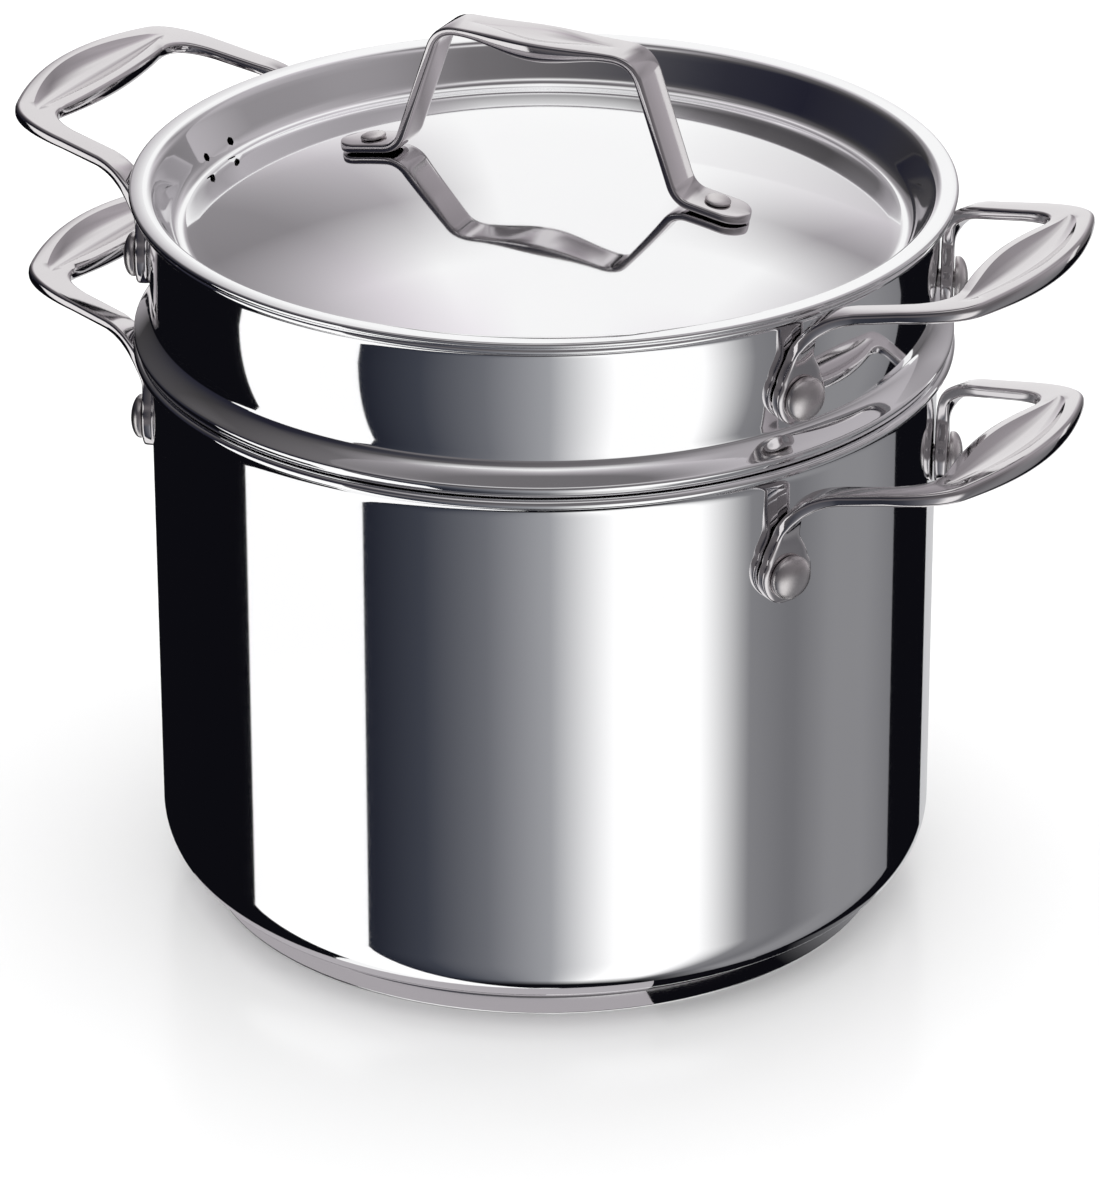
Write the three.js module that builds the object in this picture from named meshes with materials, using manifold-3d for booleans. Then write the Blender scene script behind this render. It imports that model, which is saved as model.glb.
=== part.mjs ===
// Pasta pot of polished stainless steel, a stack of three units: a deep pot with a thick base, a strainer
// insert that hangs on the pot's rim and shows as a plain band above it, and a domed lid on the insert.
// Millimetres, +Z up. The origin is the centre of the base, on the surface that the pot stands on.
// X runs through the pot's two side handles, and the front is -Y.

import * as THREE from 'three';
import { mergeVertices } from 'three/addons/utils/BufferGeometryUtils.js';
import Module from 'manifold-3d';

const wasm = await Module();
wasm.setup();

const degree = Math.PI / 180;
const quarterTurn = Math.PI / 2;

// Clearances
const seatGap = 0.3; // between pieces that rest on each other or are clamped together
const shankGap = 0.3; // round a rivet's shank, in its holes
const throughCut = 3; // how far a cutter runs past the sheet that it cuts
const weldDistance = 1e-4;

// Facets
const shellSegments = 48;
const rivetSegments = 10;
const holeSides = 6;
const archSteps = [0.12, 0.3, 0.5, 0.72, 1]; // along a side handle's arch, closer where it bends most
const roundEndStart = 15 * degree; // a round end starts with a short flat edge, not a point

// Pot
const potInnerRadius = 120;
const potWall = 1;
const potHeight = 181.2; // from the stove to the top of the rim
const potCornerRadius = 18; // outside, from the wall to the bottom
const potRimReach = 5.4; // the rim's edge beyond the wall
const potRimThickness = 3.2;
const potFlareHeight = 4.8; // of the hollow flare under the rim
const potMouthRadius = 2.6; // inner edge of the rim

// Base
const baseOverhang = 4.5; // how far the base reaches past the flat of the pot's bottom
const baseThickness = 7;
const baseCapWall = 0.8;
const baseEdgeRadius = 2;

// Insert
const insertWall = 1;
const insertBandHeight = 47.6; // from the flange's seat to the top of the insert's rim
const insertFlangeReach = 5.2; // the flange's edge beyond the band
const insertFlangeThickness = 4.6;
const insertFlangeFlare = 5.6; // height of the hollow flare from the flange up to the band
const bandTaper = 1.4; // how much the band narrows towards the flange
const bandTaperHeight = 18; // of the stretch that curves in, above the flare
const insertRimReach = 4;
const insertRimThickness = 2.5;
const insertRimFlare = 2.8; // height of the hollow flare under the rim
const insertMouthRadius = 2.2;
const basketClearance = 3; // between the basket and the pot's wall
const basketFloorHeight = 22; // above the pot's floor
const basketCornerRadius = 16;
const basketHoleDiameter = 4;
const basketHoleColumns = 24;
const basketHoleRows = 4;
const basketHolePitch = 30; // between rows
const basketLowestHole = 18; // above the end of the basket's corner
const floorRings = 2;
const floorRingPitch = 34;
const floorHolesPerRing = 6; // the first ring has this many, the second twice as many
const insertTurn = 2 * degree; // set down by hand, the insert stands a little turned on the pot

// Lid
const lidSheet = 0.8;
const lidRimThickness = 1.8;
const lidRimOverhang = 1.3; // the lid's edge beyond the insert's rim
const lidMouthGap = 0.6; // between the step-down wall and the insert's mouth, at the rim's seat
const lidRimRound = 2.4; // from the rim's top into the step-down wall
const lidStepSlope = 62 * degree; // the step-down wall from the horizontal
const lidStepDepth = 13.8; // from the rim's top to the foot of the step-down wall
const lidValleyRun = 3.6; // how far the round at the foot of the wall runs along each side
const lidDomeRise = 17.7; // the dome's middle above its edge
const ventDiameter = 3;
const ventSpacing = 15;
const ventRise = 3.2; // above the foot of the step-down wall
const lidTurn = 4 * degree; // against the pot

// Side handles: the pot and the insert carry the same casting
const handleRivetAngle = 24 * degree; // each foot from the handle's middle
const potRivetDrop = 35.3; // the pot's rivets below the top of its rim
const insertRivetHeight = 20.9; // above the insert's seat on the pot
const footRadius = 9; // round end of the foot
const footThickness = 4;
const neckWidth = 8.4;
const legThickness = 4.2;
const legTurnIn = 5; // how far the leg heads straight out before it turns along the handle
const legStraight = 18; // the leg's straight stretch before the grip's corner
const archStart = 10; // above the rivet, where the leg leaves the wall
const archReach = 18;
const topSlope = 0.19; // the handle's flat top rises outwards
const topAtWall = 27.5; // height of that top above the rivet, carried back to the wall
// Edges of the grip in plan: out is measured from the wall, side from the handle's middle.
const outerEdge = {
  legEnd: { out: 22, side: 48.4 },
  corner: { out: 41, side: 47 },
  gripStart: { out: 45, side: 37.5 },
  middle: { out: 52.8, side: 0 },
};
const innerEdge = {
  legEnd: { out: 20, side: 40 },
  corner: { out: 34, side: 38.5 },
  gripStart: { out: 32.4, side: 28 },
  middle: { out: 29.7, side: 0 },
};
const innerCrown = 1.6; // the inner edge rises above the flat top at the grip's middle
const gripStartThickness = 5.6;
const gripThickness = 8.2;
const gripStartDish = 0.8;
const gripDish = 3;

// Side-handle rivets
const rivetShankRadius = 3;
const rivetHeadRadius = 6.9;
const rivetHeadRim = 0.8; // straight edge of the head, under its dome
const rivetDomeHeight = 3.2;
const rivetTailRadius = 5.5;
const rivetTailThickness = 1.4;

// Lid handle: a bent strap
const lidRivetRadius = 58; // from the lid's axis
const strapWidth = 14;
const strapThickness = 3;
const strapFootEnd = 11.3; // outer end of the foot beyond its rivet
const strapFootStart = 9.6; // foot's inner end, where the leg bends up, inside its rivet
const strapLegLean = 71 * degree; // the leg from the horizontal
const strapHeight = 43.6; // the grip's top above the top of the foot, at the rivet
const strapFootBend = 4; // how far each bend runs along the straight stretches beside it
const strapGripBend = 8;
const lidGripWidth = 18;
const lidGripThickness = 6.4;
const lidGripDish = 1.2;

// Lid rivets
const lidShankRadius = 2;
const lidHeadRadius = 4;
const lidHeadRim = 0.4;
const lidDomeHeight = 1;
const lidTailRadius = 4;
const lidTailThickness = 1.2;

// Section of a handle, in shares of its half width and of its thickness
const dishFloorWidth = 0.5;
const dishFloorDepth = 0.85; // of the dish's full depth
const sideFootWidth = 0.95;
const bellyWidth = 0.55;
const bellyRound = 0.16; // how far the belly's shoulders lie above its lowest line, between it and the sides
// How far the sides drop before the belly starts
const footSides = 0.85;
const gripSides = 0.5;
const strapSides = 0.8;

// Levels and radii that follow from the driving dimensions
const potOuterRadius = potInnerRadius + potWall;
const potRivetHeight = potHeight - potRivetDrop;
const potFlatRadius = potOuterRadius - potCornerRadius;
const baseRadius = potFlatRadius + baseOverhang;
const potFloor = baseThickness + potWall;
const insertSeat = potHeight + seatGap;
const bandOuterRadius = potOuterRadius;
const bandInnerRadius = bandOuterRadius - insertWall;
const neckInnerRadius = bandInnerRadius - bandTaper;
const insertTop = insertSeat + insertBandHeight;
const insertRimRadius = bandOuterRadius + insertRimReach;
const basketOuterRadius = potInnerRadius - basketClearance;
const basketInnerRadius = basketOuterRadius - insertWall;
const basketBottom = potFloor + basketFloorHeight;
const lidSeat = insertTop + seatGap;
const lidTop = lidSeat + lidRimThickness;

// Materials
function steel(color, roughness) {
  return new THREE.MeshStandardMaterial({ color, roughness, metalness: 1 });
}
const polishedSteel = steel(0xd2d3d6, 0.07);
const castSteel = steel(0xc2bcbc, 0.18);
const satinSteel = steel(0xaaa2a2, 0.4);
const aluminium = steel(0xc6c8ca, 0.5);

const mix = THREE.MathUtils.lerp;

// Points along an arc of a profile, round or as tall as asked. It runs clockwise where it ends at a
// smaller angle.
function arc(radius, height, arcRadius, from, to, steps, arcHeight = arcRadius) {
  return new THREE.EllipseCurve(radius, height, arcRadius, arcHeight, from, to, to < from).getPoints(steps);
}

// A body turned about Z from a profile of radius and height, with the middle of a facet at +X.
function turned(profile, segments) {
  const geometry = new THREE.LatheGeometry(profile, segments);
  return solid(geometry.rotateX(quarterTurn).rotateZ(Math.PI / segments));
}

// A closed body from a geometry, with shared corners merged and flat triangles at the axis left out.
function solid(geometry) {
  geometry.deleteAttribute('normal');
  geometry.deleteAttribute('uv');
  const merged = mergeVertices(geometry, weldDistance);
  const corners = merged.index.array;
  const triangles = [];
  for (let i = 0; i < corners.length; i += 3) {
    const [a, b, c] = corners.slice(i, i + 3);
    if (a !== b && b !== c && c !== a) {
      triangles.push(a, b, c);
    }
  }
  const mesh = new wasm.Mesh({
    numProp: 3,
    vertProperties: merged.attributes.position.array,
    triVerts: new Uint32Array(triangles),
  });
  return new wasm.Manifold(mesh);
}

function meshOf(name, body, material) {
  const { vertProperties, triVerts } = body.getMesh();
  const geometry = new THREE.BufferGeometry();
  geometry.setAttribute('position', new THREE.BufferAttribute(vertProperties, 3));
  geometry.setIndex(new THREE.BufferAttribute(triVerts, 1));
  geometry.computeVertexNormals();
  const mesh = new THREE.Mesh(geometry, material);
  mesh.name = name;
  return mesh;
}

// A round cutter along X with a facet on top, turned about Z to an angle and lifted to a height.
function radialCutter(radius, from, to, angle, height, sides) {
  const geometry = new THREE.CylinderGeometry(radius, radius, to - from, sides).rotateY(Math.PI / sides);
  geometry.rotateZ(quarterTurn).translate((from + to) / 2, 0, height).rotateZ(angle);
  return solid(geometry);
}

// A round cutter that stands upright.
function uprightCutter(radius, from, to, x, y, sides) {
  const geometry = new THREE.CylinderGeometry(radius, radius, to - from, sides);
  geometry.rotateX(quarterTurn).translate(x, y, (from + to) / 2);
  return solid(geometry);
}

function cutAll(body, cutters) {
  return cutters.reduce((rest, cutter) => rest.subtract(cutter), body);
}

// Rolled rim of a wall, outside first: a hollow flare, the rounded edge, then the inner edge of the mouth.
function rimProfile({ outerRadius, innerRadius, top, reach, thickness, flareHeight, mouthRadius }) {
  const edgeRadius = thickness / 2;
  const flareReach = reach - edgeRadius;
  const edgeCentre = outerRadius + flareReach;
  return [
    ...arc(edgeCentre, top - thickness - flareHeight, flareReach, Math.PI, quarterTurn, 2, flareHeight),
    ...arc(edgeCentre, top - edgeRadius, edgeRadius, -quarterTurn, quarterTurn, 3).slice(1),
    ...arc(innerRadius + mouthRadius, top - mouthRadius, mouthRadius, quarterTurn, Math.PI, 2),
  ];
}

// Four angles where a unit's handle feet are riveted on.
const rivetAngles = {
  right_front: -handleRivetAngle,
  right_back: handleRivetAngle,
  left_back: Math.PI - handleRivetAngle,
  left_front: Math.PI + handleRivetAngle,
};

function rivetHoles(height) {
  const from = potInnerRadius - throughCut;
  const to = potOuterRadius + throughCut;
  return Object.values(rivetAngles).map((angle) =>
    radialCutter(rivetShankRadius + shankGap, from, to, angle, height, rivetSegments));
}

// Pot
function potShell() {
  const innerCorner = potCornerRadius - potWall;
  const innerFlat = potInnerRadius - innerCorner;
  const profile = [
    new THREE.Vector2(0, baseThickness),
    ...arc(potFlatRadius, baseThickness + potCornerRadius, potCornerRadius, -quarterTurn, 0, 5),
    ...rimProfile({
      outerRadius: potOuterRadius,
      innerRadius: potInnerRadius,
      top: potHeight,
      reach: potRimReach,
      thickness: potRimThickness,
      flareHeight: potFlareHeight,
      mouthRadius: potMouthRadius,
    }),
    ...arc(innerFlat, potFloor + innerCorner, innerCorner, 0, -quarterTurn, 4),
    new THREE.Vector2(0, potFloor),
  ];
  return cutAll(turned(profile, shellSegments), rivetHoles(potRivetHeight));
}

// Base: a steel cap holds an aluminium core against the pot's bottom.
function baseCap() {
  const top = baseThickness - seatGap;
  const pocketRadius = baseRadius - baseCapWall;
  const profile = [
    new THREE.Vector2(0, 0),
    ...arc(baseRadius - baseEdgeRadius, baseEdgeRadius, baseEdgeRadius, -quarterTurn, 0, 3),
    new THREE.Vector2(baseRadius, top),
    new THREE.Vector2(pocketRadius, top),
    ...arc(pocketRadius - baseEdgeRadius, baseCapWall + baseEdgeRadius, baseEdgeRadius, 0, -quarterTurn, 2),
    new THREE.Vector2(0, baseCapWall),
  ];
  return turned(profile, shellSegments);
}

function baseCore() {
  const radius = baseRadius - baseCapWall - seatGap;
  const bottom = baseCapWall + seatGap;
  const top = baseThickness - seatGap;
  const profile = [
    new THREE.Vector2(0, bottom),
    ...arc(radius - baseEdgeRadius, bottom + baseEdgeRadius, baseEdgeRadius, -quarterTurn, 0, 2),
    new THREE.Vector2(radius, top),
    new THREE.Vector2(0, top),
  ];
  return turned(profile, shellSegments);
}

// Insert: basket, flange folded out over the pot's rim, band that curves in to a neck above the flange, and
// rim, all one drawn sheet.
function basketHoles() {
  const holes = [];
  const radius = basketHoleDiameter / 2;
  const columnStep = 2 * Math.PI / basketHoleColumns;
  for (let row = 0; row < basketHoleRows; row++) {
    const height = basketBottom + basketCornerRadius + basketLowestHole + row * basketHolePitch;
    const stagger = row % 2 === 0 ? 0 : columnStep / 2;
    for (let column = 0; column < basketHoleColumns; column++) {
      const angle = stagger + column * columnStep;
      const from = basketInnerRadius - throughCut;
      holes.push(radialCutter(radius, from, basketOuterRadius + throughCut, angle, height, holeSides));
    }
  }
  for (let ring = 0; ring <= floorRings; ring++) {
    const count = Math.max(1, ring * floorHolesPerRing);
    for (let i = 0; i < count; i++) {
      const angle = 2 * Math.PI * i / count;
      const x = ring * floorRingPitch * Math.cos(angle);
      const y = ring * floorRingPitch * Math.sin(angle);
      const from = basketBottom - throughCut;
      holes.push(uprightCutter(radius, from, basketBottom + throughCut, x, y, holeSides));
    }
  }
  return holes;
}

function insertShell() {
  const edgeRadius = insertFlangeThickness / 2;
  const flareReach = insertFlangeReach - edgeRadius;
  const flareTop = insertSeat + insertFlangeThickness + insertFlangeFlare;
  const neckReach = flareReach + bandTaper;
  const taperTop = flareTop + bandTaperHeight;
  const taperRadius = (bandTaperHeight ** 2 + bandTaper ** 2) / (2 * bandTaper);
  const taperAngle = Math.asin(bandTaperHeight / taperRadius);
  const shoulder = neckInnerRadius - basketInnerRadius; // the neck steps in to the basket at 45 degrees
  const innerCorner = basketCornerRadius - insertWall;
  const basketFloor = basketBottom + insertWall;
  const edgeCentre = bandOuterRadius + flareReach;
  const profile = [
    new THREE.Vector2(0, basketBottom),
    ...arc(basketOuterRadius - basketCornerRadius, basketBottom + basketCornerRadius, basketCornerRadius,
      -quarterTurn, 0, 3),
    new THREE.Vector2(basketOuterRadius, insertSeat),
    ...arc(edgeCentre, insertSeat + edgeRadius, edgeRadius, -quarterTurn, quarterTurn, 3),
    ...arc(edgeCentre, flareTop, neckReach, -quarterTurn, -Math.PI, 3, insertFlangeFlare).slice(1),
    ...arc(bandOuterRadius - taperRadius, taperTop, taperRadius, -taperAngle, 0, 2).slice(1),
    ...rimProfile({
      outerRadius: bandOuterRadius,
      innerRadius: bandInnerRadius,
      top: insertTop,
      reach: insertRimReach,
      thickness: insertRimThickness,
      flareHeight: insertRimFlare,
      mouthRadius: insertMouthRadius,
    }),
    ...arc(bandInnerRadius - taperRadius, taperTop, taperRadius, 0, -taperAngle, 2),
    new THREE.Vector2(neckInnerRadius, insertSeat + insertWall + shoulder),
    new THREE.Vector2(basketInnerRadius, insertSeat + insertWall),
    ...arc(basketInnerRadius - innerCorner, basketFloor + innerCorner, innerCorner, 0, -quarterTurn, 3),
    new THREE.Vector2(0, basketFloor),
  ];
  const cutters = [...rivetHoles(insertSeat + insertRivetHeight), ...basketHoles()];
  return cutAll(turned(profile, shellSegments), cutters);
}

// Lid: its top face runs from the middle of the dome, down to a valley, up the step-down wall and over
// the rim. The underside follows it one sheet lower.
const stepTopRadius = bandInnerRadius - lidMouthGap - lidSheet + lidRimThickness / Math.tan(lidStepSlope);
const stepFootRadius = stepTopRadius - lidStepDepth / Math.tan(lidStepSlope);
const valleyHeight = lidTop - lidStepDepth;
const domeEdgeRadius = stepFootRadius - lidValleyRun;
const domeEdgeHeight = valleyHeight + lidSheet;
const domeRadius = (domeEdgeRadius ** 2 + lidDomeRise ** 2) / (2 * lidDomeRise);
const domeCentre = domeEdgeHeight + lidDomeRise - domeRadius;
const lidRimRadius = insertRimRadius + lidRimOverhang;

function domeHeightAt(radius, sphereRadius) {
  return domeCentre + Math.sqrt(sphereRadius ** 2 - radius ** 2);
}

// The lid's top face, or its underside where drop is the sheet's thickness.
function lidFace(drop) {
  const sphereRadius = domeRadius - drop;
  const domeSteps = 5;
  const dome = [];
  for (let i = 0; i <= domeSteps; i++) {
    const radius = domeEdgeRadius * i / domeSteps;
    dome.push(new THREE.Vector2(radius, domeHeightAt(radius, sphereRadius)));
  }
  const wallShift = drop / Math.sin(lidStepSlope);
  const foot = new THREE.Vector2(stepFootRadius + wallShift, valleyHeight - drop);
  const alongWall = new THREE.Vector2(Math.cos(lidStepSlope), Math.sin(lidStepSlope));
  const wallStart = foot.clone().addScaledVector(alongWall, lidValleyRun);
  const valley = new THREE.QuadraticBezierCurve(dome[domeSteps], foot, wallStart).getPoints(2).slice(1);
  return [...dome, ...valley];
}

function lidShell() {
  const edgeRadius = lidRimThickness / 2;
  const edgeCentre = lidRimRadius - edgeRadius;
  const alongWall = new THREE.Vector2(Math.cos(lidStepSlope), Math.sin(lidStepSlope));
  const rimCorner = new THREE.Vector2(stepTopRadius, lidTop);
  const rimRound = new THREE.QuadraticBezierCurve(
    rimCorner.clone().addScaledVector(alongWall, -lidRimRound),
    rimCorner,
    new THREE.Vector2(stepTopRadius + lidRimRound, lidTop),
  ).getPoints(2);
  const underWallTop = stepTopRadius + lidSheet / Math.sin(lidStepSlope)
    - lidRimThickness / Math.tan(lidStepSlope);
  const top = [
    ...lidFace(0),
    ...rimRound,
    ...arc(edgeCentre, lidTop - edgeRadius, edgeRadius, quarterTurn, -quarterTurn, 3),
    new THREE.Vector2(underWallTop, lidSeat),
  ];
  const profile = [...lidFace(lidSheet), ...top.reverse()];
  return cutAll(turned(profile, shellSegments), [...ventCutters(), ...lidRivetHoles()]);
}

// Two steam vents, side by side and square through the step-down wall near its foot, on the -X side.
function ventCutters() {
  const radius = ventDiameter / 2;
  const middle = stepFootRadius + ventRise / Math.tan(lidStepSlope);
  const halfAngle = ventSpacing / 2 / middle;
  return [-halfAngle, halfAngle].map((angle) => {
    const geometry = new THREE.CylinderGeometry(radius, radius, 2 * throughCut, holeSides);
    geometry.rotateX(quarterTurn).rotateY(-lidStepSlope);
    geometry.translate(middle, 0, valleyHeight + ventRise).rotateZ(Math.PI + angle);
    return solid(geometry);
  });
}

// The lid's rivets stand square on the dome.
const lidRivetTilt = Math.asin(lidRivetRadius / domeRadius);

function onDome(object, side) {
  object.position.set(side * lidRivetRadius, 0, domeHeightAt(lidRivetRadius, domeRadius));
  object.rotation.y = side * lidRivetTilt;
  object.updateMatrix();
  return object;
}

function lidRivetHoles() {
  const radius = lidShankRadius + shankGap;
  const length = 2 * (strapThickness + seatGap + throughCut);
  return [-1, 1].map((side) => {
    const geometry = new THREE.CylinderGeometry(radius, radius, length, rivetSegments);
    geometry.rotateX(quarterTurn).applyMatrix4(onDome(new THREE.Object3D(), side).matrix);
    return solid(geometry);
  });
}

// A rivet along Z: a flat tail, a shank from the tail's face to the head's seat, and a domed head.
function rivet(sizes) {
  const { shankRadius, headSeat, headRadius, headRim, domeHeight } = sizes;
  const { tailSeat, tailRadius, tailThickness } = sizes;
  const domeBase = headSeat + headRim;
  const dome = new THREE.EllipseCurve(0, domeBase, headRadius, domeHeight, 0, quarterTurn).getPoints(3);
  const profile = [
    new THREE.Vector2(0, tailSeat - tailThickness),
    new THREE.Vector2(tailRadius, tailSeat - tailThickness),
    new THREE.Vector2(tailRadius, tailSeat),
    new THREE.Vector2(shankRadius, tailSeat),
    new THREE.Vector2(shankRadius, headSeat),
    new THREE.Vector2(headRadius, headSeat),
    ...dome.slice(0, -1),
    new THREE.Vector2(0, domeBase + domeHeight),
  ];
  return turned(profile, rivetSegments);
}

function sideRivet(innerRadius) {
  const facetFlat = Math.cos(Math.PI / shellSegments); // a facet's middle lies nearer the axis than its edges
  return rivet({
    tailSeat: innerRadius * facetFlat - seatGap,
    headSeat: potOuterRadius + seatGap + footThickness + seatGap,
    shankRadius: rivetShankRadius,
    headRadius: rivetHeadRadius,
    headRim: rivetHeadRim,
    domeHeight: rivetDomeHeight,
    tailRadius: rivetTailRadius,
    tailThickness: rivetTailThickness,
  });
}

function lidRivet() {
  return rivet({
    tailSeat: -lidSheet - seatGap,
    headSeat: strapThickness + 2 * seatGap,
    shankRadius: lidShankRadius,
    headRadius: lidHeadRadius,
    headRim: lidHeadRim,
    domeHeight: lidDomeHeight,
    tailRadius: lidTailRadius,
    tailThickness: lidTailThickness,
  });
}

// One ring of a bar. Its section has a flat top face, hollowed by its dish, sides that drop by a share of
// the thickness, and a rounded belly. The station's centre lies in the middle of the top face.
function sectionRing(station, direction) {
  const upward = new THREE.Vector3().crossVectors(direction, station.across).normalize();
  const hollow = dishFloorDepth * station.dish;
  const sideDepth = station.sides * station.thickness;
  const bellyDepth = station.thickness - bellyRound * (station.thickness - sideDepth);
  const section = [
    [1, 0],
    [dishFloorWidth, hollow],
    [-dishFloorWidth, hollow],
    [-1, 0],
    [-sideFootWidth, sideDepth],
    [-bellyWidth, bellyDepth],
    [0, station.thickness],
    [bellyWidth, bellyDepth],
    [sideFootWidth, sideDepth],
  ];
  return section.map(([side, depth]) => station.centre.clone()
    .addScaledVector(station.across, side * station.width / 2)
    .addScaledVector(upward, -depth));
}

// A closed bar through a run of stations, each with its own section, and flat ends.
function bar(stations) {
  const last = stations.length - 1;
  const rings = stations.map((station, i) => {
    const before = stations[Math.max(i - 1, 0)].centre;
    const after = stations[Math.min(i + 1, last)].centre;
    return sectionRing(station, after.clone().sub(before));
  });
  const sides = rings[0].length;
  const index = [];
  for (let i = 0; i < last; i++) {
    for (let k = 0; k < sides; k++) {
      const next = (k + 1) % sides;
      const here = i * sides;
      const there = here + sides;
      index.push(here + k, here + next, there + next, here + k, there + next, there + k);
    }
  }
  for (let k = 1; k < sides - 1; k++) {
    const end = last * sides;
    index.push(0, k + 1, k, end, end + k, end + k + 1);
  }
  const geometry = new THREE.BufferGeometry().setFromPoints(rings.flat());
  geometry.setIndex(index);
  return solid(geometry);
}

// The whole of a symmetrical run: its half, then the same stations walked back on the other side.
function withMirror(half, flip) {
  const back = half.slice(0, -1).reverse().map((station) => ({
    ...station,
    centre: station.centre.clone().multiply(flip),
    across: station.across.clone().multiply(flip),
  }));
  return [...half, ...back];
}

// Side handle at +X, its rivets at height 0: foot on the wall, arch, leg, corner, and half the grip.
function sideHandleHalf() {
  const stations = [];
  const outward = new THREE.Vector2(Math.cos(handleRivetAngle), -Math.sin(handleRivetAngle));
  const foot = outward.clone().multiplyScalar(potOuterRadius + seatGap);
  const planPoint = ({ out, side }) => new THREE.Vector2(potOuterRadius + out, -side);
  const topAt = (plan) => topAtWall + topSlope * (plan.x - potOuterRadius);
  const addStrap = (plan, height, heading, width, thickness, sides) => stations.push({
    centre: new THREE.Vector3(plan.x, plan.y, height),
    across: new THREE.Vector3(-heading.y, heading.x, 0),
    width,
    thickness,
    dish: 0,
    sides,
  });

  const paddleSteps = 6;
  const lowest = roundEndStart - quarterTurn;
  const neck = Math.acos(neckWidth / 2 / footRadius);
  for (let i = 0; i <= paddleSteps; i++) {
    const angle = mix(lowest, neck, i / paddleSteps);
    const width = 2 * footRadius * Math.cos(angle);
    addStrap(foot, footRadius * Math.sin(angle), outward, width, footThickness, footSides);
  }

  const legEnd = planPoint(outerEdge.legEnd).add(planPoint(innerEdge.legEnd)).multiplyScalar(0.5);
  const legWidth = outerEdge.legEnd.side - innerEdge.legEnd.side;
  const turnIn = foot.clone().addScaledVector(outward, legTurnIn);
  const legStart = legEnd.clone().sub(new THREE.Vector2(legStraight, 0));
  const leg = new THREE.CubicBezierCurve(foot, turnIn, legStart, legEnd);
  const legLength = leg.getLength();
  const archTop = topAt(leg.getPointAt(archReach / legLength));
  const arch = new THREE.QuadraticBezierCurve(
    new THREE.Vector2(0, archStart),
    new THREE.Vector2(0, archTop - topSlope * archReach),
    new THREE.Vector2(archReach, archTop),
  );
  for (const step of archSteps) {
    const { x: distance, y: height } = arch.getPoint(step);
    const share = distance / legLength;
    addStrap(leg.getPointAt(share), height, leg.getTangentAt(share), mix(neckWidth, legWidth, share),
      mix(footThickness, legThickness, step), mix(footSides, gripSides, step));
  }

  const edgeCurve = (from, control, to) =>
    new THREE.QuadraticBezierCurve(planPoint(from), planPoint(control), planPoint(to));
  const bow = ({ gripStart, middle }) => ({ out: middle.out, side: gripStart.side / 2 });
  const addPair = (outer, inner, crown, thickness, dish) => {
    const outerPoint = new THREE.Vector3(outer.x, outer.y, topAt(outer));
    const innerPoint = new THREE.Vector3(inner.x, inner.y, topAt(inner) + crown);
    const across = innerPoint.clone().sub(outerPoint);
    stations.push({
      centre: outerPoint.add(innerPoint).multiplyScalar(0.5),
      across: across.clone().normalize(),
      width: across.length(),
      thickness,
      dish,
      sides: gripSides,
    });
  };
  const outerCorner = edgeCurve(outerEdge.legEnd, outerEdge.corner, outerEdge.gripStart);
  const innerCorner = edgeCurve(innerEdge.legEnd, innerEdge.corner, innerEdge.gripStart);
  const cornerSteps = 4;
  for (let i = 0; i <= cornerSteps; i++) {
    const share = i / cornerSteps;
    addPair(outerCorner.getPoint(share), innerCorner.getPoint(share), 0,
      mix(legThickness, gripStartThickness, share), gripStartDish * share ** 2);
  }
  const outerGrip = edgeCurve(outerEdge.gripStart, bow(outerEdge), outerEdge.middle);
  const innerGrip = edgeCurve(innerEdge.gripStart, bow(innerEdge), innerEdge.middle);
  const gripSteps = 3;
  for (let i = 1; i <= gripSteps; i++) {
    const share = i / gripSteps;
    const swell = Math.sin(quarterTurn * share);
    addPair(outerGrip.getPoint(share), innerGrip.getPoint(share), innerCrown * swell,
      mix(gripStartThickness, gripThickness, swell), mix(gripStartDish, gripDish, swell));
  }
  return stations;
}

function sideHandle() {
  const casting = bar(withMirror(sideHandleHalf(), new THREE.Vector3(1, -1, 1)));
  const from = potOuterRadius - throughCut;
  const to = potOuterRadius + footThickness + throughCut;
  const holes = [-handleRivetAngle, handleRivetAngle].map((angle) =>
    radialCutter(rivetShankRadius + shankGap, from, to, angle, 0, rivetSegments));
  return cutAll(casting, holes);
}

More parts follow.
